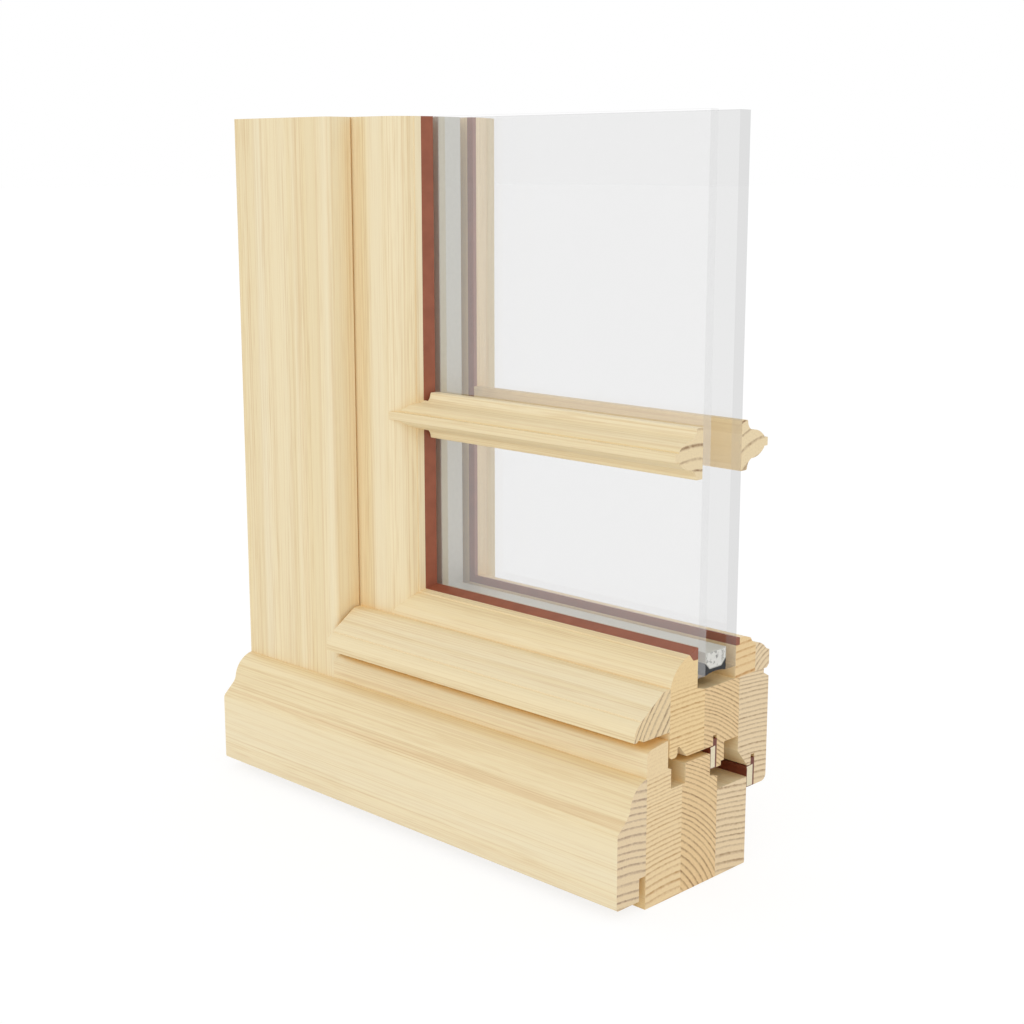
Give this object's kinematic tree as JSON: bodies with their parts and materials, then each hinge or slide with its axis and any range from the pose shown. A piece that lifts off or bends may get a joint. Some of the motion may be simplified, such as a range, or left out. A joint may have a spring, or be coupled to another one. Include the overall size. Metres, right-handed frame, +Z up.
{
  "type": "wooden window corner sample",
  "caption": "Sawn corner sample of a wooden casement window: laminated frame and sash, moulded sill nosing, weather bar, double glazing with glazing bars, seals and beads.",
  "frame": {"origin": "centre of the bounding box at its bottom, level with the underside of the sill", "axes": "+Z up the jamb, +X along the sill from the jamb's outer side to the sawn end, -Y towards the outdoors"},
  "size_m": [0.264, 0.1002, 0.3236],
  "materials": {
    "pine": "planed, clear matt lacquer",
    "glass": "clear float glass",
    "spacer_aluminium": "mill finish",
    "desiccant": "matt fine beads",
    "edge_sealant": "matt black sealant",
    "silicone": "smooth brown silicone",
    "seal_skin": "matt dark brown skin",
    "seal_foam": "matt cream foam"
  },
  "bodies": {
    "root": {"frame_jamb_outer_lamella": "pine", "frame_jamb_middle_lamella": "pine", "frame_jamb_inner_lamella": "pine", "frame_sill_outer_lamella": "pine", "frame_sill_middle_lamella": "pine", "frame_sill_inner_lamella": "pine", "sill_nosing": "pine", "sash_stile_outer_lamella": "pine", "sash_stile_middle_lamella": "pine", "sash_stile_inner_lamella": "pine", "sash_rail_outer_lamella": "pine", "sash_rail_middle_lamella": "pine", "sash_rail_inner_lamella": "pine", "weather_bar": "pine", "bead_stile_front_strip": "pine", "bead_stile_back_strip": "pine", "bead_rail_front_strip": "pine", "bead_rail_back_strip": "pine", "outer_glazing_bar": "pine", "inner_glazing_bar": "pine", "outer_pane": "glass", "inner_pane": "glass", "spacer": "spacer_aluminium", "desiccant": "desiccant", "edge_sealant": "edge_sealant", "outer_silicone": "silicone", "inner_silicone": "silicone", "middle_seal_cover": "seal_skin", "overlap_seal_cover": "seal_skin", "middle_seal_foam": "seal_foam", "overlap_seal_foam": "seal_foam"}
  },
  "joints": []
}
